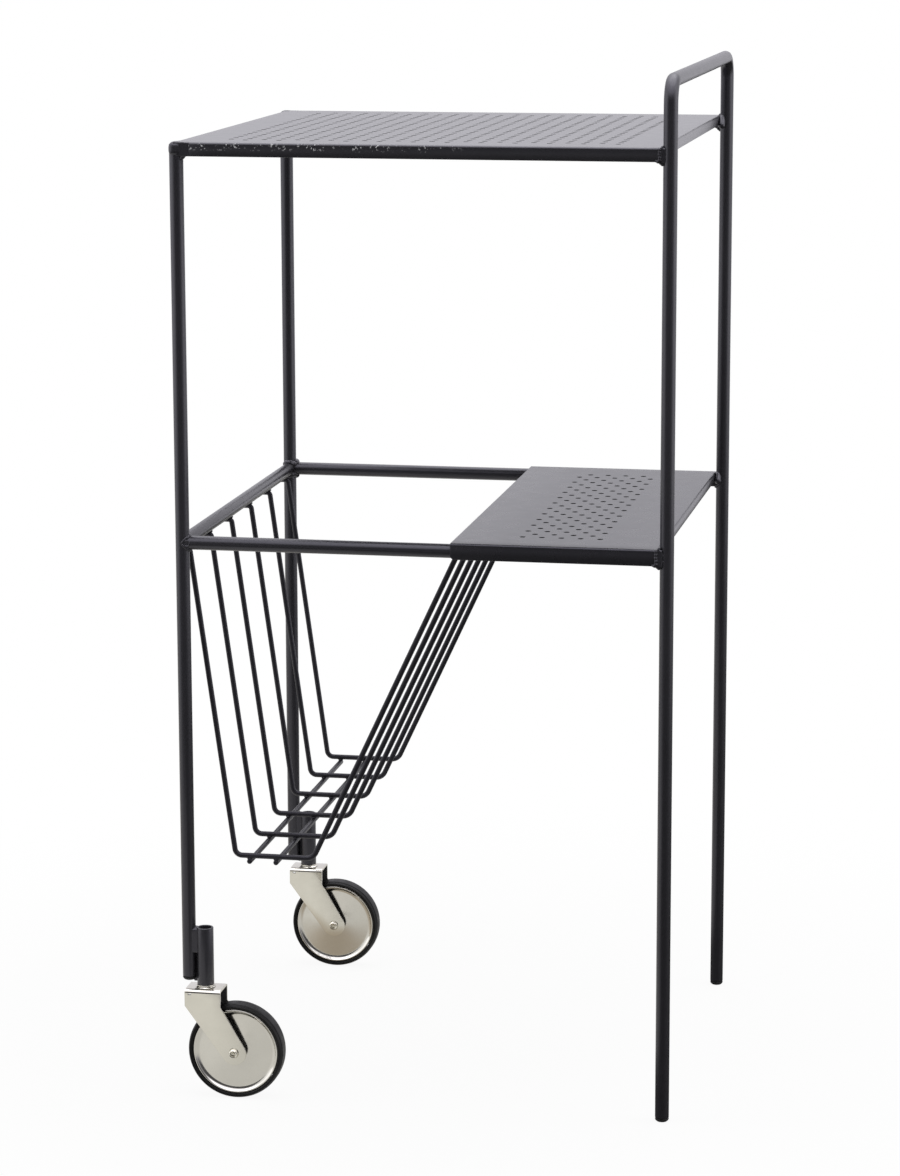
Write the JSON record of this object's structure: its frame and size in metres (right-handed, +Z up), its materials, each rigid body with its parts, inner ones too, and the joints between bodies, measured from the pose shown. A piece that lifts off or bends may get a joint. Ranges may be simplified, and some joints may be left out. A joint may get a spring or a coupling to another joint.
{
  "type": "mobile file cart",
  "caption": "Wheeled metal file cart with a perforated top, a perforated half shelf, a wire file trough, swivel casters under one side, fixed legs and a raised handle on the other.",
  "frame": {"origin": "on the floor, midway between the four uprights", "axes": "+X from the casters towards the handle, +Y from the front to the rear, +Z up"},
  "size_m": [0.413, 0.4188, 0.86],
  "materials": {
    "black_lacquer": "satin charcoal black lacquer on steel, fine orange peel, small scuffs on edges",
    "bright_plate": "bright nickel plate, softly brushed",
    "black_rubber": "matt black rubber",
    "black_plastic": "matt black moulded plastic"
  },
  "bodies": {
    "frame": {"front_left_post": "black_lacquer", "rear_left_post": "black_lacquer", "front_left_post_plug": "black_plastic", "rear_left_post_plug": "black_plastic", "handle_leg_tube": "black_lacquer", "front_leg_glide": "black_plastic", "rear_leg_glide": "black_plastic", "left_rail": "black_lacquer", "front_rail": "black_lacquer", "rear_rail": "black_lacquer", "shelf_cross_rail": "black_lacquer", "top_tray": "black_lacquer", "half_shelf": "black_lacquer", "basket_wire_1": "black_lacquer", "basket_wire_2": "black_lacquer", "basket_wire_3": "black_lacquer", "basket_wire_4": "black_lacquer", "basket_wire_5": "black_lacquer", "basket_wire_6": "black_lacquer", "basket_runner_left": "black_lacquer", "basket_runner_right": "black_lacquer", "front_caster_socket": "black_lacquer", "front_caster_web": "black_lacquer", "front_caster_stem": "bright_plate", "rear_caster_socket": "black_lacquer", "rear_caster_web": "black_lacquer", "rear_caster_stem": "bright_plate"},
    "front_swivel": {"front_fork": "bright_plate", "front_swivel_race": "bright_plate", "front_axle": "bright_plate", "front_axle_nut": "bright_plate"},
    "front_wheel": {"front_tyre": "black_rubber", "front_outer_disc": "bright_plate", "front_inner_disc": "bright_plate", "front_hub_bush": "bright_plate"},
    "rear_swivel": {"rear_fork": "bright_plate", "rear_swivel_race": "bright_plate", "rear_axle": "bright_plate", "rear_axle_nut": "bright_plate"},
    "rear_wheel": {"rear_tyre": "black_rubber", "rear_outer_disc": "bright_plate", "rear_inner_disc": "bright_plate", "rear_hub_bush": "bright_plate"}
  },
  "joints": [
    {"name": "front_swivel_turn", "type": "hinge", "parent": "frame", "child": "front_swivel", "pos_m": [-0.1869, -0.1936, 0.0946], "axis": [0, 0, 1], "continuous": true},
    {"name": "front_wheel_roll", "type": "hinge", "parent": "front_swivel", "child": "front_wheel", "pos_m": [-0.1604, -0.1936, 0.041], "axis": [0, 1, 0], "continuous": true},
    {"name": "rear_swivel_turn", "type": "hinge", "parent": "frame", "child": "rear_swivel", "pos_m": [-0.1869, 0.1936, 0.0946], "axis": [0, 0, 1], "continuous": true},
    {"name": "rear_wheel_roll", "type": "hinge", "parent": "rear_swivel", "child": "rear_wheel", "pos_m": [-0.1604, 0.1936, 0.041], "axis": [0, 1, 0], "continuous": true}
  ]
}
